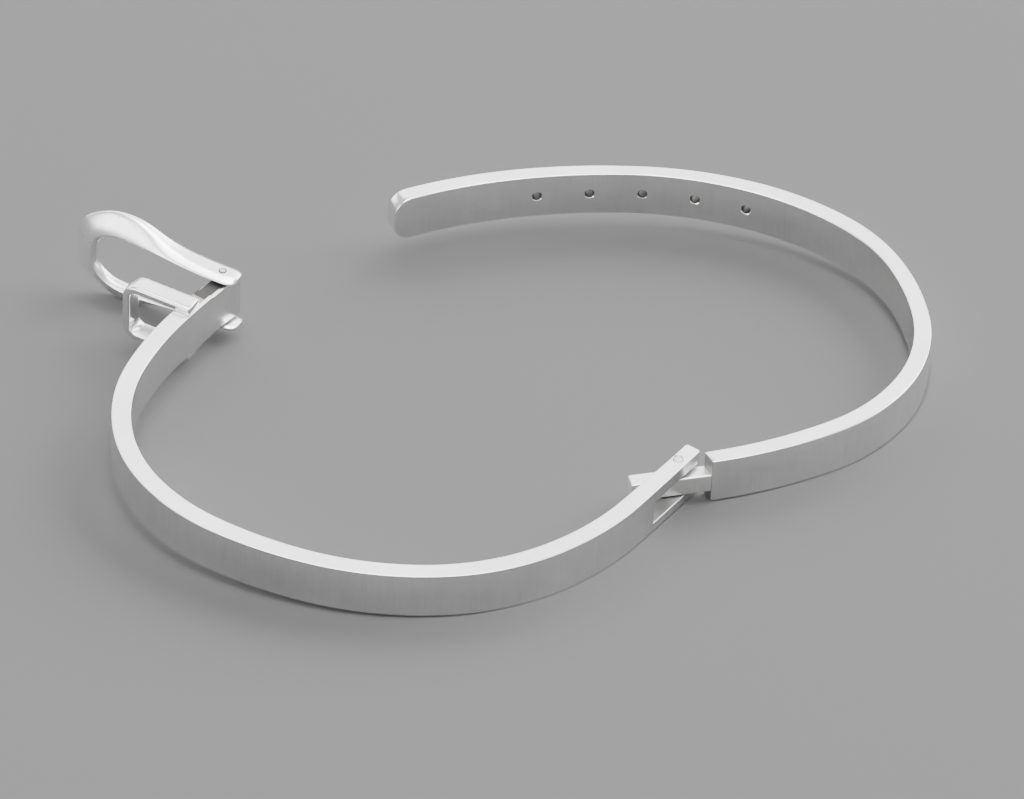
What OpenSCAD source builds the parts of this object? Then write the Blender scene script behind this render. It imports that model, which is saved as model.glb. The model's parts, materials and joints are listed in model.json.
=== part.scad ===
// Hinged silver bangle with a buckle clasp, lying open on its side. Millimetres, +Z up.

/* [Band] */
// Height of the bar, which stands on its edge
band_h = 5; // [4:0.1:7]
// Radius of the rounded tip's corners
tip_r = 1.9; // [0.5:0.1:2.4]
// Diameter of the adjusting holes
hole_d = 1; // [0.6:0.05:1.4]
// Distance between adjusting holes
hole_pitch = 5.3; // [4:0.1:7]
// Number of adjusting holes
hole_count = 5; // [3:1:7]
// Distance of the first hole from the tip
hole_end = 15; // [8:0.5:20]

/* [Hinge] */
// Diameter of the hinge pin
hinge_d = 0.95; // [0.8:0.05:1.2]
// How far the fork's ears run past the pin
ear_len = 2.3; // [1.6:0.1:3]
// Distance of the slot's floor from the pin
slot_len = 5.2; // [5:0.1:8]
// Lower face of the fork's slot
slot_low = 1; // [0.8:0.05:1.6]
// Height of the fork's slot
slot_h = 2.6; // [1.6:0.05:3]
// Lower face of the tongue
tongue_low = 1.12; // [1:0.02:1.8]
// Height of the tongue
tongue_h = 2.05; // [1.4:0.05:2.4]
// Thickness of the tongue
tongue_t = 1.6; // [1.3:0.1:1.8]
// How far the tongue runs past the pin
tongue_len = 4.7; // [2:0.1:5]
// Where the back half's full height begins on its inner face, from the pin
shoulder = 2.75; // [2.75:0.05:5]
// How much further out the shoulder lies on the outer face
shoulder_slant = 0.4; // [0:0.05:0.6]

/* [Keeper] */
// Width of the keeper's flat wire
keeper_w = 2.1; // [1.5:0.1:3.5]
// Thickness of the keeper's flat wire
keeper_t = 0.9; // [0.6:0.05:1.2]
// Outward reach of the keeper from the bar's centre line
keeper_out = 6.9; // [4:0.1:8]
// Outer corner radius of the keeper
keeper_r = 1.7; // [1:0.1:2.5]
// Arc length at which the keeper crosses the bar
keeper_at = 87.75; // [80:0.25:90]
// Direction in which the keeper points, degrees
keeper_dir = 152; // [140:1:165]

/* [Buckle] */
// Arc length of the buckle's pivot along the front half
buckle_at = 93.55; // [92:0.05:94]
// Shift of the pivot outward from the bar's centre line
buckle_off = 0.25; // [0:0.05:0.4]
// Direction in which the buckle points at rest, degrees
buckle_dir = 152.8; // [60:0.1:165]
// How far the frame is lifted on its play, degrees
buckle_lift = 0.8; // [0:0.1:2]
// Twist of the frame's far end, its top leaning back, degrees
buckle_twist = 5; // [0:0.5:8]
// How much longer the lower arm's end is than the upper arm's
lug_long = 0.3; // [0:0.05:0.5]
// How much deeper the lower arm's end is
lug_deep = 0.3; // [0:0.05:0.5]
// Diameter of the buckle's pin
buckle_d = 0.9; // [0.7:0.05:1]
// How much lower each edge of the bar is cut where the buckle's arms turn
notch = 0.15; // [0:0.05:0.4]
// Arc length at which that cut begins
notch_at = 90.6; // [90:0.1:92]
// Diameter of the catch peg
peg_d = 0.85; // [0.6:0.05:1]
// Length of the catch peg behind the frame
peg_len = 1.9; // [1:0.1:2.5]

/* [Fits] */
// Radial play of the turning fits
play = 0.04; // [0.01:0.01:0.1]
// Radial gap round a riveted pin
rivet = 0.015; // [0.01:0.005:0.05]

/* [Rest pose] */
// Turn about X that lays the bangle on its three points, degrees
rest_x = 1.847; // [-4:0.001:4]
// Turn about Y that lays the bangle on its three points, degrees
rest_y = 1.318; // [-4:0.001:4]
// Lift that brings the lowest point to the table
rest_z = 1.02; // [0:0.001:4]
// Shift that centres the bangle, along X
rest_dx = 1.179; // [-10:0.001:10]
// Shift that centres the bangle, along Y
rest_dy = 1.518; // [-10:0.001:10]

/* [Hidden] */
$fn = 48;
hinge_at = [15.96, -14.03];
front_dir = 235;
back_dir = 14;
// The pin stands nearer the inner face of each half
front_off = 0.2;
back_off = -0.32;
// Side of the tongue that faces into the bangle, from the pin
tongue_in = 0.65;
mid_z = band_h / 2;

// Front half from the pin: length, turn in degrees, thickness at the run's start and end
front_runs = [
    [8, -1, 1.62, 1.8],
    [10, -21.5, 1.8, 1.85],
    [12, -28, 1.85, 1.73],
    [12, -22, 1.73, 1.78],
    [10, -14, 1.78, 1.92],
    [8, -21.5, 1.92, 1.92],
    [8, -26.5, 1.92, 1.88],
    [10, -31, 1.88, 1.86],
    [8, -12.5, 1.86, 1.8],
    [9, -4.5, 1.8, 1.78],
];

// Back half from the pin: length, turn in degrees, thickness at the run's start and end
back_runs = [
    [4, 2.5, 1.45, 1.62],
    [12, 14.5, 1.62, 1.8],
    [10, 30.5, 1.8, 1.78],
    [10, 36.5, 1.78, 1.68],
    [8, 19, 1.68, 1.67],
    [8, 25, 1.67, 1.75],
    [10, 19.5, 1.75, 1.62],
    [12, 19, 1.62, 1.36],
    [12, 12, 1.36, 1.55],
    [12.7, 15, 1.55, 1.7],
];

// Upper arm and shoulder of the frame, from the arm's end to the far bar's middle. In the
// frame's plane, along and up from the pivot: inner edge, outer edge; then across it: back
// face, front face at the inner edge, front face at the outer edge
frame_rows = [
    [-1.75, 2.6, -1.75, 3, -0.7, 0.6, 0.4],
    [-1.5, 2.6, -1.5, 3.15, -0.95, 1, 0.6],
    [-0.9, 2.6, -0.9, 3.25, -1.05, 1.3, 0.75],
    [0.5, 2.62, 0.5, 3.25, -1.05, 1.35, 0.8],
    [2.5, 2.65, 2.5, 3.3, -1.05, 1.35, 0.8],
    [4.5, 2.7, 4.5, 3.45, -1, 1.3, 0.7],
    [6.5, 2.8, 6.5, 3.9, -0.9, 1.25, 0.5],
    [8.2, 2.85, 8.3, 4.6, -0.75, 1.2, 0.3],
    [9.8, 2.85, 10.2, 5, -0.6, 1.15, 0.15],
    [11.3, 2.75, 12.4, 4.85, -0.5, 1.1, 0.1],
    [12.6, 2.3, 14.4, 4, -0.45, 1.05, 0.1],
    [13.5, 1.3, 15.9, 2.6, -0.4, 1, 0.1],
    [13.75, 0, 16.3, 0, -0.4, 1, 0.1],
];

function turn(p, a) = [p[0] * cos(a) - p[1] * sin(a), p[0] * sin(a) + p[1] * cos(a)];

// Point at distance d along a run that starts at p with heading a
function along(p, a, run, d) =
    run[1] == 0 ? p + d * [cos(a), sin(a)]
    : let (r = run[0] / (run[1] * PI / 180), b = a + run[1] * d / run[0])
      p + r * [sin(b) - sin(a), cos(a) - cos(b)];

// Start of each run as [point, heading], and the end of the last
function starts(runs, p, a, i = 0) =
    i == len(runs) ? [[p, a]]
    : concat([[p, a]], starts(runs, along(p, a, runs[i], runs[i][0]), a + runs[i][1], i + 1));

// Arc lengths at which the runs start
function marks(runs, i = 0, s = 0) =
    i == len(runs) ? [s] : concat([s], marks(runs, i + 1, s + runs[i][0]));

// [point, heading, thickness] at arc length s
function at_length(runs, p, a, s) =
    let (m = marks(runs),
         i = max([for (k = [0:len(runs) - 1]) if (m[k] <= max(s, 0) || k == 0) k]),
         q = starts(runs, p, a)[i], d = s - m[i], u = d / runs[i][0])
    [along(q[0], q[1], runs[i], d), q[1] + runs[i][1] * u,
     runs[i][2] + (runs[i][3] - runs[i][2]) * max(u, 0)];

function total(runs) = marks(runs)[len(runs)];

// Outline of a bent bar in plan, from arc length s0 to s1
function bar_outline(runs, p, a, s0, s1) =
    let (n = ceil((s1 - s0) / 1.1),
         c = [for (i = [0:n]) at_length(runs, p, a, s0 + (s1 - s0) * i / n)])
    concat([for (q = c) q[0] + turn([0, q[2] / 2], q[1])],
           [for (i = [n:-1:0]) c[i][0] - turn([0, c[i][2] / 2], c[i][1])]);

front_from = hinge_at + turn([0, front_off], front_dir);
back_from = hinge_at + turn([0, back_off], back_dir);
function front_at(s) = at_length(front_runs, front_from, front_dir, s);
function back_at(s) = at_length(back_runs, back_from, back_dir, s);

pivot = front_at(buckle_at)[0] + turn([0, buckle_off], front_at(buckle_at)[1]);

module lay_down() {
    translate([rest_dx, rest_dy, rest_z]) rotate([rest_x, rest_y, 0]) children();
}

// Stands at a point of a bar, +X along the bar, z = 0 at the bar's lower edge
module stand(q) {
    translate([q[0][0], q[0][1], 0]) rotate([0, 0, q[1]]) children();
}

// Cuts the corners of a bar's end that points along +X, at the origin
module round_corners(r) {
    for (m = [0, 1])
        translate([0, 0, mid_z]) mirror([0, 0, m]) translate([-r, -4, mid_z - r])
            difference() {
                cube([r + 1, 8, r + 1]);
                rotate([-90, 0, 0]) translate([0, 0, -1]) cylinder(r = r, h = 10);
            }
}

module keeper() {
    stand([front_at(keeper_at)[0], keeper_dir])
        rotate([90, 0, 0]) translate([0, 0, -keeper_w / 2]) linear_extrude(keeper_w)
            difference() {
                rounded(-0.75, keeper_out, -keeper_t, band_h + keeper_t, keeper_r);
                rounded(-3, keeper_out - keeper_t, 0.01, band_h - 0.01, keeper_r - keeper_t);
            }
}

// Rectangle with round corners on its far side
module rounded(x0, x1, z0, z1, r) {
    translate([x0, z0]) square([x1 - x0 - r, z1 - z0]);
    translate([x0, z0 + r]) square([x1 - x0, z1 - z0 - 2 * r]);
    for (z = [z0 + r, z1 - r]) translate([x1 - r, z]) circle(r);
}

module front_band() {
    color("silver") lay_down() difference() {
        union() {
            linear_extrude(band_h)
                polygon(bar_outline(front_runs, front_from, front_dir, -ear_len, total(front_runs)));
            keeper();
        }
        stand([hinge_at, front_dir]) {
            translate([-ear_len - 1, -3, slot_low]) cube([ear_len + 1 + slot_len, 6, slot_h]);
            translate([0, 0, -1]) cylinder(d = hinge_d + 2 * rivet, h = band_h + 2);
        }
        stand(front_at(notch_at))
            for (z = [-1, band_h - notch]) translate([0, -3, z]) cube([8, 6, 1 + notch]);
        translate([pivot[0], pivot[1], -1]) cylinder(d = buckle_d + 2 * play, h = band_h + 2);
    }
}

module hinge_pin() {
    color("gainsboro") lay_down() translate([hinge_at[0], hinge_at[1], 0]) cylinder(d = hinge_d, h = band_h);
}

// Cuts the back half's end on the slant, through the inner corner of its shoulder
module shoulder_cut() {
    q = back_at(shoulder);
    stand([q[0] + turn([0, q[2] / 2], q[1]), q[1] + atan(shoulder_slant / q[2])])
        translate([-2, -4, -1]) cube([2, 6, band_h + 2]);
}

module back_band() {
    s1 = total(back_runs);
    color("silver") lay_down() difference() {
        union() {
            difference() {
                linear_extrude(band_h)
                    polygon(bar_outline(back_runs, back_from, back_dir, shoulder - 0.6, s1));
                shoulder_cut();
            }
            stand([hinge_at, back_dir]) translate([-tongue_len, tongue_in - tongue_t, tongue_low])
                cube([tongue_len + shoulder + 0.7, tongue_t, tongue_h]);
        }
        stand([hinge_at, back_dir]) cylinder(d = hinge_d + 2 * play, h = band_h);
        for (i = [0:hole_count - 1])
            stand(back_at(s1 - hole_end - i * hole_pitch))
                translate([0, 3, mid_z]) rotate([90, 0, 0]) cylinder(d = hole_d, h = 6);
        stand(back_at(s1)) round_corners(tip_r);
    }
}

// The lower arm's row that answers to a row of the upper arm
function lower(r) =
    let (x = r[0] - lug_long * max(0, -r[0] / 1.75), t = r[3] + lug_deep * max(0, min(1, 1 - r[0] / 5)))
    r[0] < 5 ? [x, -r[1], x, -t, r[4], r[5], r[6]] : [r[0], -r[1], r[2], -r[3], r[4], r[5], r[6]];

function mirrored(rows) = concat(rows, [for (i = [len(rows) - 2:-1:0]) lower(rows[i])]);

function smooth(a, b, c, d, u) =
    b + u * ((c - a) / 2 + u * (a - 2.5 * b + 2 * c - d / 2 + u * (1.5 * (b - c) + (d - a) / 2)));

function refined(rows, k) =
    let (n = len(rows))
    [for (i = [0:n - 2], j = [0:k - 1])
        smooth(rows[max(i - 1, 0)], rows[i], rows[i + 1], rows[min(i + 2, n - 1)], j / k),
     rows[n - 1]];

// Section of the frame at a row: share of the way out, and place across
function section(r) =
    let (w = norm([r[2] - r[0], r[3] - r[1]]), e = 0.12, k = e / w)
    [for (q = [[0, r[4] + e], [0, r[5] - e], [k, r[5]], [0.5, (r[5] + r[6]) / 2 + 0.1 * w * 0.8],
               [1 - k, r[6]], [1, r[6] - e], [1, r[4] + e], [1 - k, r[4]], [k, r[4]]])
        let (x = r[0] + (r[2] - r[0]) * q[0], z = r[1] + (r[3] - r[1]) * q[0],
             twist = buckle_twist * max(0, min(1, (x - 2) / 8)))
        [x, q[1] - z * tan(twist), z]];

module frame() {
    rings = [for (r = refined(mirrored(frame_rows), 3)) section(r)];
    n = len(rings);
    m = len(rings[0]);
    polyhedron(
        points = [for (r = rings, p = r) p],
        faces = concat(
            [[for (j = [0:m - 1]) j]],
            [for (i = [0:n - 2], j = [0:m - 1]) let (k = (j + 1) % m)
                each [[i * m + j, (i + 1) * m + j, (i + 1) * m + k], [i * m + j, (i + 1) * m + k, i * m + k]]],
            [[for (j = [m - 1:-1:0]) (n - 1) * m + j]]));
}

module buckle() {
    color("silver") lay_down() translate([pivot[0], pivot[1], mid_z]) rotate([0, 0, buckle_dir])
        difference() {
            rotate([0, -buckle_lift, 0]) {
                frame();
                translate([15, 0, 0]) rotate([90, 0, 0]) cylinder(d = peg_d, h = 0.3 + peg_len);
            }
            cylinder(d = buckle_d + 2 * rivet, h = band_h * 3, center = true);
        }
}

module buckle_pin() {
    color("gainsboro") lay_down() translate([pivot[0], pivot[1], mid_z])
        translate([0, 0, -frame_rows[3][3] - lug_deep])
            cylinder(d = buckle_d, h = 2 * frame_rows[3][3] + lug_deep);
}

front_band();
hinge_pin();
back_band();
buckle();
buckle_pin();
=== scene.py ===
"""Hinged silver bangle with a buckle clasp, lying open on its side on a pale surface."""
import json
import math

import bmesh
import bpy
from mathutils import Matrix, Vector


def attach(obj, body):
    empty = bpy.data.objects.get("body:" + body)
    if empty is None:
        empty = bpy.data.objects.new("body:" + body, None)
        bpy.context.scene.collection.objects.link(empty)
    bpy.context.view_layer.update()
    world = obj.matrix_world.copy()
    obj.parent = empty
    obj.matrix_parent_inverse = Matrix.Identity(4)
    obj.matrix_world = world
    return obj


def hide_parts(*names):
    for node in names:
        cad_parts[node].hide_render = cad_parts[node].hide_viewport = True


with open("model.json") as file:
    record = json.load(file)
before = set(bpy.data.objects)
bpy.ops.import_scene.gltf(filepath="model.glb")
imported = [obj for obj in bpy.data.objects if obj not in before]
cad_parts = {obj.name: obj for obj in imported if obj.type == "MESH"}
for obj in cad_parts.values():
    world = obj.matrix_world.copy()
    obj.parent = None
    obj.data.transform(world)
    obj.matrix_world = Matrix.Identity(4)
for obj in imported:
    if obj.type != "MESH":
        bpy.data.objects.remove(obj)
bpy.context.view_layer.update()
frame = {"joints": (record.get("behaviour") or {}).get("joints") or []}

# Sizes are in millimetres and angles in degrees, on the band's own frame: the bars' lower edges
# are at z = 0, and the bars' middle is at MID_Z
MM = 0.001
BAND_H = 5.0
MID_Z = BAND_H / 2
STOCK_T = 1.8
HALF_T = STOCK_T / 2
TIP_R = 1.9
EDGE_R = 0.13
STATION = 0.9

# Adjusting holes, the last one HOLE_END from the strap's tip
HOLE_D, HOLE_PITCH, HOLE_COUNT, HOLE_END = 1.0, 5.3, 5, 15.0

# Hinge: the fork on the front half, the tongue on the back half
HINGE_AT = Vector((15.96, -14.03, 0))
HINGE_D, EAR_LEN, EAR_R = 0.95, 2.3, 0.3
SLOT_LEN, SLOT_LOW, SLOT_H = 5.2, 1.0, 2.6
SLOT_TOP = SLOT_LOW + SLOT_H
TONGUE_LOW, TONGUE_H, TONGUE_T, TONGUE_LEN, TONGUE_IN = 1.12, 2.05, 1.6, 4.7, 0.65
TONGUE_ROOT, TONGUE_EDGE = 0.7, 0.16
SHOULDER, SHOULDER_SLANT = 2.75, 0.4

# Keeper loop
KEEPER_W, KEEPER_T, KEEPER_OUT, KEEPER_R = 2.1, 0.9, 6.9, 1.7
KEEPER_AT, KEEPER_DIR, KEEPER_IN = 87.75, 152, -0.75
KEEPER_CROWN, KEEPER_SOFT = 0.1, 0.26

# Clasp end of the front half: thinned from NOTCH_AT on; beyond the keeper its top has painted
# shade, grey and then dark, behind a bright rim
NOTCH, NOTCH_AT, NOTCH_RIM = 0.15, 90.6, 0.35
SHADE_GAP, HALF_SHADE_LEN = 0.1, 0.8

# Buckle: the lower arm's end is longer and deeper, which fades out at LUG_FADE
BUCKLE_AT, BUCKLE_OFF, BUCKLE_D = 93.55, 0.25, 0.9
BUCKLE_DIR, BUCKLE_LIFT, BUCKLE_TWIST = 152.8, 0.8, 5.0
LUG_LONG, LUG_DEEP, LUG_FADE = 0.3, 0.3, 5
PEG_D, PEG_LEN, PEG_ROOT, PEG_AT = 0.85, 1.9, 0.3, 15.0

# Buckle strip: how much its edges are taken off, what is added to that on the inner edge and the
# lengths and heights over which this comes in, its crown as a share of its width, and the lengths
# over which the twist comes in
FRAME_EDGE, INNER_EDGE, INNER_ALONG, INNER_UP = 0.17, 0.34, (4, 10), (2.6, 1.3)
FRAME_CROWN = 0.08
TWIST_ALONG = (2, 10)

# Play that is added to a bore's diameter where its rivet is fast and where it turns, and how far
# each kind of hole is opened at its mouths
FAST_PLAY, TURNING_PLAY = 0.03, 0.08
BORE_MOUTH, HINGE_MOUTH, HOLE_MOUTH = 0.02, 0.06, 0.07

# Rivet ends as (share of the radius, depth below the end), how far the buckle's stands proud, and
# how steep each rivet's rim is where it starts to be dark, as the upward part of its normal
DOME = ((0, 0), (0.6, 0.01), (0.9, 0.05), (1, 0.12))
RIVET_PROUD = 0.04
HINGE_RIM, BUCKLE_RIM = 0.9, 0.97

# Where each half leaves the hinge: heading, and the centre line's distance from the pin
FRONT_DIR, BACK_DIR = 235, 14
FRONT_OFF, BACK_OFF = 0.2, -0.32

# Runs of each half from the hinge pin: length, turn in degrees, thickness at the start and end
FRONT_RUNS = (
    (8, -1, 1.62, 1.8),
    (10, -21.5, 1.8, 1.85),
    (12, -28, 1.85, 1.73),
    (12, -22, 1.73, 1.78),
    (10, -14, 1.78, 1.92),
    (8, -21.5, 1.92, 1.92),
    (8, -26.5, 1.92, 1.88),
    (10, -31, 1.88, 1.86),
    (8, -12.5, 1.86, 1.8),
    (9, -4.5, 1.8, 1.78),
)
BACK_RUNS = (
    (4, 2.5, 1.45, 1.62),
    (12, 14.5, 1.62, 1.8),
    (10, 30.5, 1.8, 1.78),
    (10, 36.5, 1.78, 1.68),
    (8, 19, 1.68, 1.67),
    (8, 25, 1.67, 1.75),
    (10, 19.5, 1.75, 1.62),
    (12, 19, 1.62, 1.36),
    (12, 12, 1.36, 1.55),
    (12.7, 15, 1.55, 1.7),
)

# Buckle frame from the upper arm's end to the far bar's middle, in millimetres from the pivot:
# inner edge along, inner edge up, outer edge along, outer edge up, back face, front face at the
# inner edge, front face at the outer edge
FRAME_ROWS = (
    (-1.75, 2.6, -1.75, 3.0, -0.7, 0.6, 0.4),
    (-1.5, 2.6, -1.5, 3.15, -0.95, 1.0, 0.6),
    (-0.9, 2.6, -0.9, 3.25, -1.05, 1.3, 0.75),
    (0.5, 2.62, 0.5, 3.25, -1.05, 1.35, 0.8),
    (2.5, 2.65, 2.5, 3.3, -1.05, 1.35, 0.8),
    (4.5, 2.7, 4.5, 3.45, -1.0, 1.3, 0.7),
    (6.5, 2.8, 6.5, 3.9, -0.9, 1.25, 0.5),
    (8.2, 2.85, 8.3, 4.6, -0.75, 1.2, 0.3),
    (9.8, 2.85, 10.2, 5.0, -0.6, 1.15, 0.15),
    (11.3, 2.75, 12.4, 4.85, -0.5, 1.1, 0.1),
    (12.6, 2.3, 14.4, 4.0, -0.45, 1.05, 0.1),
    (13.5, 1.3, 15.9, 2.6, -0.4, 1.0, 0.1),
    (13.75, 0.0, 16.3, 0.0, -0.4, 1.0, 0.1),
)
ROW_STEPS = 3
ARM_END = FRAME_ROWS[0][0]
ARM_TOP = 3.25

# Camera on the band's frame
CAMERA_TARGET = Vector((0.0, -3.5, 2.5))
CAMERA_AZIMUTH, CAMERA_ELEVATION, CAMERA_ROLL = 0.704, 41.17, 2.643
CAMERA_DISTANCE, CAMERA_LENS, SENSOR = 970.2, 354.2, 36

# Panels of light, in metres and watts: name, place, size, power, whether it lights the floor too
# (one that does not shows in the metal alone)
PANELS = (
    ("window", (0.95, 0.6, 0.75), (1.2, 1.1), 26, True),
    ("panel_behind", (-0.1, 0.92, 0.8), (1.3, 0.9), 10, True),
    ("panel_left", (-0.85, 0.7, 0.28), (0.8, 0.5), 3.5, False),
    ("reflector", (-0.88, -0.52, 0.34), (0.9, 0.68), 8, False),
    ("lamp_above", (0, -0.25, 1.2), (1.2, 1.2), 48, False),
)
SKY_STRENGTH = 0.93
FLOOR_HALF, FLOOR_GREY = 3.0, 0.22

# Distances that count as the same plane, as a little slack, and as one point
IN_PLANE, SLACK, MERGE = 1e-4, 1e-3, 1e-5

# Places in the pieces' lists of materials: sawn metal darkened by painted shade, near-black
# painted shade, and a rivet's dark rim
SAWN_AND_SHADE, DARK = 1, 2
RIM = 1

# Angle between two faces above which the edge is drawn sharp
SHARP_ANGLE = 38


def turned(x, y, degrees):
    """A plan vector turned by an angle."""
    a = math.radians(degrees)
    return Vector((x * math.cos(a) - y * math.sin(a), x * math.sin(a) + y * math.cos(a), 0))


def share(value, start, end):
    """How far a value has come from start to end, from 0 to 1."""
    return max(0, min(1, (value - start) / (end - start)))


class Bar:
    """Centre line of one half, as arcs that run on from one another."""

    def __init__(self, runs, off, heading):
        self.runs = runs
        self.start = HINGE_AT + turned(0, off, heading)
        self.heading = heading
        self.length = sum(run[0] for run in runs)

    def at(self, s):
        """Point, heading and thickness at an arc length."""
        point, heading, left = self.start.copy(), self.heading, s
        for i, (length, turn, t0, t1) in enumerate(self.runs):
            last = i == len(self.runs) - 1 or left <= length
            d = left if last else length
            radius = length / math.radians(turn)
            swept = turn * d / length
            point = point + turned(radius * math.sin(math.radians(swept)),
                                   radius * (1 - math.cos(math.radians(swept))), heading)
            heading += swept
            if last:
                return point, heading, t0 + (t1 - t0) * max(d / length, 0)
            left -= length

    def bend(self, bm):
        """Bends straight stock, x along it and y across it, to this line and to its thickness."""
        for v in bm.verts:
            point, heading, thick = self.at(v.co.x)
            v.co = point + turned(0, v.co.y * thick / STOCK_T, heading) + Vector((0, 0, v.co.z))

    def place(self, s, heading=None, across=0.0, z=0.0):
        """Matrix that stands something at an arc length, x along the bar or along a heading."""
        point, own, _ = self.at(s)
        point = point + turned(0, across, own) + Vector((0, 0, z))
        angle = math.radians(own if heading is None else heading)
        return Matrix.Translation(point) @ Matrix.Rotation(angle, 4, "Z")


FRONT = Bar(FRONT_RUNS, FRONT_OFF, FRONT_DIR)
BACK = Bar(BACK_RUNS, BACK_OFF, BACK_DIR)


def lay_down():
    """Matrix from the band's frame in millimetres to the scene, read off the hinge."""
    hinge = next(j for j in frame["joints"] if j["name"] == "hinge")
    up = Vector(hinge["axis"]).normalized()
    turn_x = Matrix.Rotation(-math.asin(up.y), 4, "X")
    turn_y = Matrix.Rotation(math.atan2(up.x, up.z), 4, "Y")
    turn = turn_y @ turn_x
    pin_middle = HINGE_AT + Vector((0, 0, MID_Z))
    shift = Vector(hinge["pos_m"]) - turn @ (pin_middle * MM)
    return Matrix.Translation(shift) @ turn @ Matrix.Scale(MM, 4)


LAY_DOWN = lay_down()
PIN_PLACE = Matrix.Translation(HINGE_AT)
TONGUE_PLACE = PIN_PLACE @ Matrix.Rotation(math.radians(BACK_DIR), 4, "Z")
BUCKLE_PLACE = FRONT.place(BUCKLE_AT, heading=BUCKLE_DIR, across=BUCKLE_OFF, z=MID_Z)
FRAME_PLACE = BUCKLE_PLACE @ Matrix.Rotation(math.radians(-BUCKLE_LIFT), 4, "Y")


# Mesh tools

def block(x0, x1, y0, y1, z0, z1):
    """A box between two corners."""
    bm = bmesh.new()
    bmesh.ops.create_cube(bm, size=1)
    bmesh.ops.scale(bm, vec=(x1 - x0, y1 - y0, z1 - z0), verts=bm.verts)
    bmesh.ops.translate(bm, vec=((x0 + x1) / 2, (y0 + y1) / 2, (z0 + z1) / 2), verts=bm.verts)
    return bm


def slice_at(bm, point, normal):
    """Cuts every face that a plane crosses, and keeps both sides."""
    bmesh.ops.bisect_plane(bm, geom=bm.verts[:] + bm.edges[:] + bm.faces[:], dist=MERGE,
                           plane_co=point, plane_no=normal)


def end_faces(bm, x, low, high):
    """Faces that lie in the plane at x, with their middles between two heights."""
    return [f for f in bm.faces
            if all(abs(v.co.x - x) < IN_PLANE for v in f.verts)
            and low < f.calc_center_median().z < high]


def end_edges(bm, x, level):
    """Edges in the plane at x whose two ends have the same y or the same z."""
    return [e for e in bm.edges
            if all(abs(v.co.x - x) < IN_PLANE for v in e.verts)
            and abs(getattr(e.verts[0].co, level) - getattr(e.verts[1].co, level)) < IN_PLANE]


def grow(bm, faces, vec=(0, 0, 0)):
    """Extrudes joined faces by a vector, leaving nothing inside, and returns the new end."""
    edges = list(dict.fromkeys(e for f in faces for e in f.edges))
    found = bmesh.ops.extrude_face_region(bm, geom=list(faces) + edges)["geom"]
    bmesh.ops.translate(bm, vec=vec, verts=[g for g in found if isinstance(g, bmesh.types.BMVert)])
    return [g for g in found if isinstance(g, bmesh.types.BMFace)]


def round_off(bm, edges, radius, segments):
    """Rounds some edges."""
    bmesh.ops.bevel(bm, geom=edges, offset=radius, offset_type="OFFSET", segments=segments,
                    profile=0.5, affect="EDGES", material=-1, clamp_overlap=True)


def soften(bm, radius, segments=3, least_angle=40):
    """Rounds every outer edge that is sharper than an angle."""
    bm.normal_update()
    sharp = math.radians(least_angle)
    round_off(bm, [e for e in bm.edges if e.is_convex and e.calc_face_angle(0) > sharp],
              radius, segments)


def stations(bm, x0, x1):
    """Cuts stock across at even steps, so that it bends smoothly."""
    count = math.ceil((x1 - x0) / STATION)
    for i in range(1, count):
        slice_at(bm, (x0 + (x1 - x0) * i / count, 0, 0), (1, 0, 0))


def rough_object(bm, name="rough"):
    """Makes a plain object of a mesh and puts it in the scene."""
    mesh = bpy.data.meshes.new(name)
    bmesh.ops.recalc_face_normals(bm, faces=bm.faces)
    bm.to_mesh(mesh)
    bm.free()
    obj = bpy.data.objects.new(name, mesh)
    bpy.context.scene.collection.objects.link(obj)
    return obj


def cut(bm, *cutters):
    """The stock with each cutter taken out of it."""
    stock = rough_object(bm)
    for cutter in cutters:
        tool = rough_object(cutter)
        taken = stock.modifiers.new("cut", "BOOLEAN")
        taken.operation, taken.solver, taken.object = "DIFFERENCE", "EXACT", tool
        bpy.context.view_layer.update()
        result = bpy.data.meshes.new_from_object(
            stock.evaluated_get(bpy.context.evaluated_depsgraph_get()))
        stock.modifiers.clear()
        stock.data = result
        bpy.data.objects.remove(tool)
    out = bmesh.new()
    out.from_mesh(stock.data)
    out.normal_update()
    bpy.data.objects.remove(stock)
    return out


def paint(bm, index, wanted):
    """Gives some faces another of the piece's materials."""
    for f in bm.faces:
        if wanted(f):
            f.material_index = index


def turned_shape(profile, axis, steps=32):
    """Spins a profile of (radius, height) points about the Y or Z axis."""
    bm = bmesh.new()
    points = [Vector((r, 0, h)) if axis == "Z" else Vector((r, h, 0)) for r, h in profile]
    verts = [bm.verts.new(p) for p in points]
    edges = [bm.edges.new(pair) for pair in zip(verts, verts[1:])]
    bmesh.ops.spin(bm, geom=verts + edges, cent=(0, 0, 0), angle=2 * math.pi, steps=steps,
                   axis=(0, 0, 1) if axis == "Z" else (0, 1, 0), dvec=(0, 0, 0),
                   use_merge=True, use_duplicate=False)
    bmesh.ops.remove_doubles(bm, verts=bm.verts, dist=MERGE)
    bmesh.ops.recalc_face_normals(bm, faces=bm.faces)
    return bm


def bore(diameter, start, end, mouth, axis="Z"):
    """Cutter for a round hole from start to end, opened a little at each mouth."""
    r = diameter / 2
    wide = r + mouth + 1
    on = math.copysign(1, end - start)
    return turned_shape([(0, start - on), (wide, start - on), (r, start + on * mouth),
                         (r, end - on * mouth), (wide, end + on), (0, end + on)], axis)


def moved(bm, matrix):
    """The mesh itself, after a matrix has moved it."""
    bmesh.ops.transform(bm, matrix=matrix, verts=bm.verts)
    return bm


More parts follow.
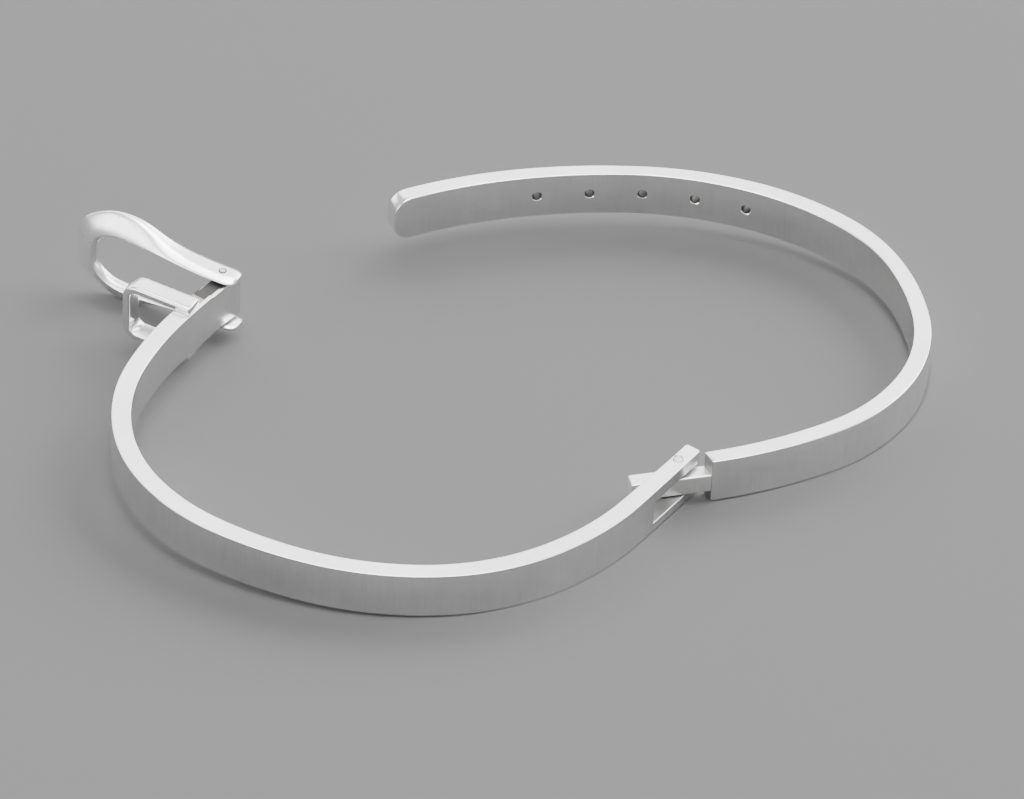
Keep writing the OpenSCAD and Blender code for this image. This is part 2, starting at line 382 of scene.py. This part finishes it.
def piece(name, bm, body, materials, nodes=(), levels=0):
    """Lays a finished mesh down in the scene, shades it and lets it ride on its body."""
    moved(bm, LAY_DOWN)
    bmesh.ops.remove_doubles(bm, verts=bm.verts, dist=MERGE * MM)
    obj = rough_object(bm, name)
    for polygon in obj.data.polygons:
        polygon.use_smooth = True
    obj.data.set_sharp_from_angle(angle=math.radians(SHARP_ANGLE))
    if levels:
        surface = obj.modifiers.new("surface", "SUBSURF")
        surface.levels = surface.render_levels = levels
    else:
        shading = obj.modifiers.new("shading", "WEIGHTED_NORMAL")
        shading.keep_sharp = True
    for material in materials:
        obj.data.materials.append(material)
    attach(obj, body)
    if nodes:
        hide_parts(*nodes)


# Materials

def feed(tree, socket, value):
    """Links an output to a socket, or sets the socket to a plain value."""
    if isinstance(value, bpy.types.NodeSocket):
        tree.links.new(value, socket)
    else:
        socket.default_value = value


def add(tree, kind, **inputs):
    """A new node with some of its inputs fed."""
    node = tree.nodes.new(kind)
    for key, value in inputs.items():
        feed(tree, node.inputs[key], value)
    return node


def mapped(tree, low, high, value, out_low=0.0, out_high=1.0):
    """A value stretched from one range to another and held inside it."""
    node = tree.nodes.new("ShaderNodeMapRange")
    node.clamp = True
    for index, number in enumerate((value, low, high, out_low, out_high)):
        feed(tree, node.inputs[index], number)
    return node.outputs[0]


def combine(tree, operation, a, b):
    """The sum or the product of two values."""
    node = tree.nodes.new("ShaderNodeMath")
    node.operation = operation
    for index, value in enumerate((a, b)):
        feed(tree, node.inputs[index], value)
    return node.outputs[0]


def handling_marks():
    """Group for fine file lines across the bars, dents and dull patches of worn silver."""
    group = bpy.data.node_groups.new("handling_marks", "ShaderNodeTree")
    for label, scale in (("Line Scale", 3000.0), ("Dull Scale", 120.0)):
        socket = group.interface.new_socket(label, in_out="INPUT", socket_type="NodeSocketFloat")
        socket.default_value = scale
    for label in ("Lines", "Dents", "Dull"):
        group.interface.new_socket(label, in_out="OUTPUT", socket_type="NodeSocketFloat")
    entry = group.nodes.new("NodeGroupInput")
    out = group.nodes.new("NodeGroupOutput")
    coords = group.nodes.new("ShaderNodeTexCoord").outputs["Object"]
    upright = add(group, "ShaderNodeMapping", Vector=coords, Scale=(1.0, 1.0, 0.06))
    lines = add(group, "ShaderNodeTexNoise", Vector=upright.outputs[0],
                Scale=entry.outputs["Line Scale"], Detail=3.0, Roughness=0.6)
    dents = add(group, "ShaderNodeTexNoise", Vector=coords,
                Scale=combine(group, "MULTIPLY", entry.outputs["Line Scale"], 0.3),
                Detail=2.0, Roughness=0.5)
    dull = add(group, "ShaderNodeTexNoise", Vector=coords, Scale=entry.outputs["Dull Scale"],
               Detail=4.0, Roughness=0.6)
    for label, node in (("Lines", lines), ("Dents", dents), ("Dull", dull)):
        group.links.new(node.outputs["Fac"], out.inputs[label])
    return group


MARKS = handling_marks()


def silver(name, colour, roughness, line_depth, dent_depth, dull):
    """Silver with handling marks.

    roughness is that of a clean and of a worn spot, the depths of the marks are in metres, and
    dull is how much of the darker colour the dull patches take.
    """
    patch_rough, line_rough = 0.6, 0.4
    line_shade, dent_shade, darker = 0.2, 0.08, 0.6
    material = bpy.data.materials.new(name)
    material.use_nodes = True
    tree = material.node_tree
    shader = tree.nodes["Principled BSDF"]
    shader.inputs["Metallic"].default_value = 1.0
    marks = tree.nodes.new("ShaderNodeGroup")
    marks.node_tree = MARKS
    patches = mapped(tree, 0.4, 0.65, marks.outputs["Dull"])
    streaks = mapped(tree, 0.35, 0.75, marks.outputs["Lines"])
    wear = combine(tree, "ADD", combine(tree, "MULTIPLY", patches, patch_rough),
                   combine(tree, "MULTIPLY", streaks, line_rough))
    tree.links.new(mapped(tree, 0.0, 1.0, wear, *roughness), shader.inputs["Roughness"])
    mottle = mapped(tree, 0.45, 0.7, marks.outputs["Dents"], 0.0, dent_shade)
    shade = combine(tree, "ADD", combine(tree, "MULTIPLY", patches, dull),
                    combine(tree, "ADD", combine(tree, "MULTIPLY", streaks, line_shade), mottle))
    tint = tree.nodes.new("ShaderNodeMix")
    tint.data_type = "RGBA"
    tree.links.new(shade, tint.inputs["Factor"])
    tint.inputs["A"].default_value = (*colour, 1)
    tint.inputs["B"].default_value = (*(c * darker for c in colour), 1)
    tree.links.new(tint.outputs["Result"], shader.inputs["Base Color"])
    low = add(tree, "ShaderNodeBump", Height=marks.outputs["Lines"], Distance=line_depth,
              Strength=1.0)
    high = add(tree, "ShaderNodeBump", Height=marks.outputs["Dents"], Distance=dent_depth,
               Strength=1.0, Normal=low.outputs["Normal"])
    tree.links.new(high.outputs["Normal"], shader.inputs["Normal"])
    return material


BAR_SILVER = silver("bar_silver", (0.94, 0.94, 0.935), (0.12, 0.26), 6e-7, 2e-6, 0.25)
BUCKLE_SILVER = silver("buckle_silver", (0.94, 0.94, 0.935), (0.24, 0.34), 0.0, 2e-6, 0.1)
PIN_SILVER = silver("pin_silver", (0.72, 0.72, 0.71), (0.25, 0.4), 3e-6, 6e-6, 0.4)
TONGUE_SILVER = silver("tongue_silver", (0.93, 0.93, 0.92), (0.3, 0.5), 1e-6, 8e-6, 0.4)
# Rough, dull sawn metal whose dark base colour is painted shade: in the fork's slot, on the
# shoulder's end face and on the clasp end's top
SAWN_AND_SHADE_SILVER = silver("sawn_and_shade_silver", (0.36, 0.36, 0.355), (0.4, 0.6), 4e-6, 1e-5, 0.6)
# Near black: painted shade in the adjusting holes, on the slot's end wall and on the clasp end's
# top, and the dark ring round each rivet's end
DARK_JOINT_AND_SHADE = silver("dark_joint_and_shade", (0.08, 0.078, 0.075), (0.4, 0.6), 4e-6, 1e-5, 0.6)
BAR_METALS = [BAR_SILVER, SAWN_AND_SHADE_SILVER, DARK_JOINT_AND_SHADE]
RIVET_METALS = [PIN_SILVER, DARK_JOINT_AND_SHADE]


# Front half

def front_stock():
    """Straight stock for the front half: forked from x = SLOT_LEN down, thinned at its far end."""
    bm = block(SLOT_LEN, NOTCH_AT, -HALF_T, HALF_T, 0, BAND_H)
    for z in (NOTCH, SLOT_LOW, SLOT_TOP, BAND_H - NOTCH):
        slice_at(bm, (0, 0, z), (0, 0, 1))
    for low, high in ((0, SLOT_LOW), (SLOT_TOP, BAND_H)):
        grow(bm, end_faces(bm, SLOT_LEN, low, high), (-SLOT_LEN - EAR_LEN, 0, 0))
    grow(bm, end_faces(bm, NOTCH_AT, NOTCH, BAND_H - NOTCH), (FRONT.length - NOTCH_AT, 0, 0))
    bmesh.ops.recalc_face_normals(bm, faces=bm.faces)
    bmesh.ops.dissolve_limit(bm, angle_limit=math.radians(1), verts=bm.verts, edges=bm.edges)
    round_off(bm, end_edges(bm, -EAR_LEN, "y"), EAR_R, 4)
    soften(bm, EDGE_R)
    return bm


def in_slot(face):
    """Whether a face of the stock is the floor or the ceiling of the fork's slot."""
    middle = face.calc_center_median()
    return (middle.x < SLOT_LEN + SLACK and SLOT_LOW - SLACK < middle.z < SLOT_TOP + SLACK
            and abs(face.normal.y) < 0.3 and face.normal.x > -0.3)


def shade_clasp_end(bm):
    """Paints shade on the clasp end's top beyond the keeper, grey first and then dark, towards the
    buckle's arm.
    """
    half_shade_from = KEEPER_AT + KEEPER_W / 2 + SHADE_GAP
    full_shade_from = half_shade_from + HALF_SHADE_LEN
    rim = NOTCH_RIM - HALF_T
    slice_at(bm, (half_shade_from, 0, 0), (1, 0, 0))
    slice_at(bm, (full_shade_from, 0, 0), (1, 0, 0))
    slice_at(bm, (0, rim, 0), (0, 1, 0))
    # Painted shade on the top beyond the keeper, except the rim: grey sawn metal first, near black
    # after
    for f in bm.faces:
        middle = f.calc_center_median()
        if middle.x > half_shade_from and middle.y > rim and middle.z > BAND_H - NOTCH - SLACK:
            f.material_index = SAWN_AND_SHADE if middle.x < full_shade_from else DARK


def front_bar():
    """The front half, with its fork, its thinned clasp end and the bores for both rivets."""
    bm = front_stock()
    # Painted shade: the slot's floor and ceiling take the sawn metal with its darker colour
    paint(bm, SAWN_AND_SHADE, in_slot)
    # Painted shade, near black, on the slot's end wall
    for f in end_faces(bm, SLOT_LEN, SLOT_LOW, SLOT_TOP):
        f.material_index = DARK
    # Painted shade, grey then near black, on the clasp end's top beyond the keeper
    shade_clasp_end(bm)
    stations(bm, -EAR_LEN, FRONT.length)
    FRONT.bend(bm)
    hinge = bore(HINGE_D + FAST_PLAY, 0, BAND_H, HINGE_MOUTH)
    buckle = bore(BUCKLE_D + TURNING_PLAY, 0, BAND_H - 2 * NOTCH, BORE_MOUTH)
    buckle_at = FRONT.place(BUCKLE_AT, across=BUCKLE_OFF, z=NOTCH)
    return cut(bm, moved(hinge, PIN_PLACE), moved(buckle, buckle_at))


def keeper():
    """Flat wire, faintly crowned: along over the bar, round two corners, and back below it."""
    half, top = KEEPER_W / 2, BAND_H + KEEPER_T
    edge, flank = top - KEEPER_CROWN, top - KEEPER_CROWN / 4
    corner_x = KEEPER_OUT - KEEPER_R
    bm = bmesh.new()
    face = bm.faces.new([bm.verts.new((KEEPER_IN, y, z)) for y, z in (
        (-half, BAND_H), (half, BAND_H), (half, edge), (half / 2, flank), (0, top),
        (-half / 2, flank), (-half, edge))])
    geom = [face] + list(face.edges) + list(face.verts)

    def straight(x, z, steps):
        return bmesh.ops.spin(bm, geom=geom, cent=(0, 0, 0), axis=(0, 1, 0), angle=0,
                              dvec=Vector((x, 0, z)) / steps, steps=steps)["geom_last"]

    def corner(z):
        return bmesh.ops.spin(bm, geom=geom, cent=(corner_x, 0, z), axis=(0, 1, 0),
                              angle=math.pi / 2, dvec=(0, 0, 0), steps=12)["geom_last"]

    geom = straight(corner_x - KEEPER_IN, 0, 6)
    geom = corner(top - KEEPER_R)
    geom = straight(0, 2 * KEEPER_R - 2 * KEEPER_T - BAND_H, 3)
    geom = corner(KEEPER_R - KEEPER_T)
    straight(KEEPER_IN - corner_x, 0, 6)
    bmesh.ops.remove_doubles(bm, verts=bm.verts, dist=MERGE)
    bmesh.ops.recalc_face_normals(bm, faces=bm.faces)
    soften(bm, KEEPER_SOFT, segments=4)
    return moved(bm, FRONT.place(KEEPER_AT, heading=KEEPER_DIR))


# Back half

def back_bar():
    """The back half, with its slanted shoulder, its rounded tip and the adjusting holes."""
    bm = block(SHOULDER, BACK.length, -HALF_T, HALF_T, 0, BAND_H)
    for v in bm.verts:
        if v.co.x < SHOULDER + IN_PLANE and v.co.y < 0:
            v.co.x += SHOULDER_SLANT
    round_off(bm, end_edges(bm, BACK.length, "z"), TIP_R, 14)
    soften(bm, EDGE_R, least_angle=50)
    # The shoulder's end face: sawn metal, darker by painted shade
    paint(bm, SAWN_AND_SHADE, lambda f: f.normal.x < -0.8)
    places = [BACK.length - HOLE_END - i * HOLE_PITCH for i in range(HOLE_COUNT)]
    holes = [moved(bore(HOLE_D, HALF_T, -HALF_T, HOLE_MOUTH, "Y"),
                   Matrix.Translation((s, 0, MID_Z))) for s in places]
    bm = cut(bm, *holes)

    def in_hole(face):
        middle = face.calc_center_median()
        away = min(math.hypot(middle.x - s, middle.z - MID_Z) for s in places)
        return away < HOLE_D / 2 + SLACK and abs(face.normal.y) < 0.5

    # Painted shade, near black, on the walls of the adjusting holes
    paint(bm, DARK, in_hole)
    stations(bm, SHOULDER, BACK.length)
    BACK.bend(bm)
    return bm


def tongue():
    """Narrow bar that enters the fork, with the bore that turns on the hinge's rivet."""
    bm = block(-TONGUE_LEN, SHOULDER + TONGUE_ROOT, TONGUE_IN - TONGUE_T, TONGUE_IN,
               TONGUE_LOW, TONGUE_LOW + TONGUE_H)
    soften(bm, TONGUE_EDGE)
    hole = moved(bore(HINGE_D + TURNING_PLAY, 0, TONGUE_H, BORE_MOUTH),
                 Matrix.Translation((0, 0, TONGUE_LOW)))
    return moved(cut(bm, hole), TONGUE_PLACE)


# Buckle

def lower_row(row):
    """The lower arm's row that answers to a row of the upper arm, longer and deeper at its end."""
    x0, z0, x1, z1, back, inner, outer = row
    longer = LUG_LONG * share(x0, 0, ARM_END)
    deeper = LUG_DEEP * share(x0, LUG_FADE, 0)
    return x0 - longer, -z0, x1 - longer, -z1 - deeper, back, inner, outer


def smooth(a, b, c, d, u):
    """A share u of the way from b to c on the smooth curve through a, b, c and d."""
    bend = 1.5 * (b - c) + (d - a) / 2
    return b + u * ((c - a) / 2 + u * (a - 2.5 * b + 2 * c - d / 2 + u * bend))


def refined(rows):
    """Rows on a smooth curve through the given rows."""
    out = []
    last = len(rows) - 1
    for i in range(last):
        near = [rows[max(0, min(last, i + k))] for k in (-1, 0, 1, 2)]
        for j in range(ROW_STEPS):
            out.append([smooth(*numbers, j / ROW_STEPS) for numbers in zip(*near)])
    return out + [rows[last]]


def strip_section(row):
    """Section of the frame's strip, from the inner edge round by the front face.

    The inner edge is rounder at the far bar and along the lower arm, and the strip leans more
    the farther out it is.
    """
    x0, z0, x1, z1, back, inner, outer = row
    wide = math.hypot(x1 - x0, z1 - z0)
    e = FRAME_EDGE
    k = e / wide
    r = e + INNER_EDGE * share(x0, *INNER_ALONG) * share(z0, *INNER_UP)
    shape = ((0, back + r), (0, inner - r), (r / wide, inner),
             (0.5, (inner + outer) / 2 + FRAME_CROWN * wide), (1 - k, outer), (1, outer - e),
             (1, back + e), (1 - k, back), (r / wide, back))
    points = []
    for u, v in shape:
        x, z = x0 + (x1 - x0) * u, z0 + (z1 - z0) * u
        lean = math.tan(math.radians(BUCKLE_TWIST * share(x, *TWIST_ALONG)))
        points.append(Vector((x, v - z * lean, z)))
    return points


def loft(sections):
    """Extrudes the first section through the others and stays closed at both ends."""
    bm = bmesh.new()
    caps = [bm.faces.new([bm.verts.new(p) for p in sections[0]])]
    for section in sections[1:]:
        caps = grow(bm, caps)
        for v, p in zip(caps[0].verts, section):
            v.co = p
    bmesh.ops.recalc_face_normals(bm, faces=bm.faces)
    return bm


def buckle_frame():
    """The horseshoe, from the upper arm's end round the far bar to the lower arm's end."""
    rows = list(FRAME_ROWS) + [lower_row(row) for row in reversed(FRAME_ROWS[:-1])]
    return moved(loft([strip_section(row) for row in refined(rows)]), FRAME_PLACE)


def catch_peg():
    """Plain peg on the frame's back face, rooted in the far bar, with a chamfer at its end."""
    r, end = PEG_D / 2, -PEG_LEN - PEG_ROOT
    bm = turned_shape([(0, 0.4), (r, 0.4), (r, end + 0.2), (r * 0.75, end + 0.05), (0, end)],
                      "Y", steps=24)
    return moved(bm, FRAME_PLACE @ Matrix.Translation((PEG_AT, 0, 0)))


# Rivets

def rivet(diameter, low, high, rim):
    """Pin with hammered, faintly domed ends, dark where it is steeper than its rim."""
    r = diameter / 2
    bm = turned_shape([(r * u, low + depth) for u, depth in DOME]
                      + [(r * u, high - depth) for u, depth in reversed(DOME)], "Z")
    bm.normal_update()
    paint(bm, RIM, lambda f: abs(f.normal.z) < rim)
    return bm


def hinge_rivet():
    """Rivet through the fork, flush with both edges of the bar."""
    return moved(rivet(HINGE_D, 0, BAND_H, HINGE_RIM), PIN_PLACE)


def buckle_rivet():
    """Rivet through the bar's end and both arms, a little proud of the upper one."""
    low, high = -ARM_TOP - LUG_DEEP, ARM_TOP + RIVET_PROUD
    return moved(rivet(BUCKLE_D, low, high, BUCKLE_RIM), BUCKLE_PLACE)


piece("front_bar", front_bar(), "front", BAR_METALS, ["front_band"])
piece("keeper_loop", keeper(), "front", [BAR_SILVER])
piece("back_bar", back_bar(), "back", BAR_METALS, ["back_band"])
piece("hinge_tongue", tongue(), "back", [TONGUE_SILVER])
piece("hinge_rivet", hinge_rivet(), "front", RIVET_METALS, ["hinge_pin"])
piece("buckle_frame", buckle_frame(), "buckle", [BUCKLE_SILVER], ["buckle"],
      levels=1)
piece("catch_peg", catch_peg(), "buckle", [BUCKLE_SILVER])
piece("buckle_rivet", buckle_rivet(), "buckle", RIVET_METALS, ["buckle_pin"])


# Floor, light and camera

def floor():
    """Plain pale floor."""
    bm = bmesh.new()
    bmesh.ops.create_grid(bm, x_segments=1, y_segments=1, size=FLOOR_HALF)
    obj = rough_object(bm, "floor")
    material = bpy.data.materials.new("pale_floor")
    material.use_nodes = True
    shader = material.node_tree.nodes["Principled BSDF"]
    shader.inputs["Base Color"].default_value = (FLOOR_GREY, FLOOR_GREY, FLOOR_GREY, 1)
    shader.inputs["Roughness"].default_value = 0.95
    shader.inputs["Specular IOR Level"].default_value = 0.1
    obj.data.materials.append(material)


def soft_light(name, at, size, watts, on_floor):
    """A rectangular panel of light that faces the bangle."""
    data = bpy.data.lights.new(name, "AREA")
    data.shape = "RECTANGLE"
    data.size, data.size_y = size
    data.energy = watts
    obj = bpy.data.objects.new(name, data)
    bpy.context.scene.collection.objects.link(obj)
    obj.location = at
    obj.visible_camera = False
    obj.visible_diffuse = on_floor
    obj.rotation_euler = (-Vector(at)).to_track_quat("-Z", "Y").to_euler()


def studio():
    """White light from all round, and the panels."""
    world = bpy.data.worlds.new("studio")
    bpy.context.scene.world = world
    world.use_nodes = True
    background = world.node_tree.nodes["Background"]
    background.inputs["Color"].default_value = (1, 1, 1, 1)
    background.inputs["Strength"].default_value = SKY_STRENGTH
    for panel in PANELS:
        soft_light(*panel)


def camera():
    """Long lens at the photograph's angle, set on the band's frame."""
    data = bpy.data.cameras.new("camera")
    data.lens, data.sensor_width = CAMERA_LENS, SENSOR
    data.clip_start, data.clip_end = 0.01, 20
    obj = bpy.data.objects.new("camera", data)
    bpy.context.scene.collection.objects.link(obj)
    bpy.context.scene.camera = obj
    turn = (Matrix.Rotation(math.radians(-CAMERA_AZIMUTH), 4, "Z")
            @ Matrix.Rotation(math.radians(90 - CAMERA_ELEVATION), 4, "X")
            @ Matrix.Rotation(math.radians(CAMERA_ROLL), 4, "Z"))
    place = Matrix.Translation(CAMERA_TARGET) @ turn @ Matrix.Translation((0, 0, CAMERA_DISTANCE))
    pose = LAY_DOWN @ place
    obj.location = pose.to_translation()
    obj.rotation_euler = pose.to_quaternion().to_euler()


floor()
studio()
camera()
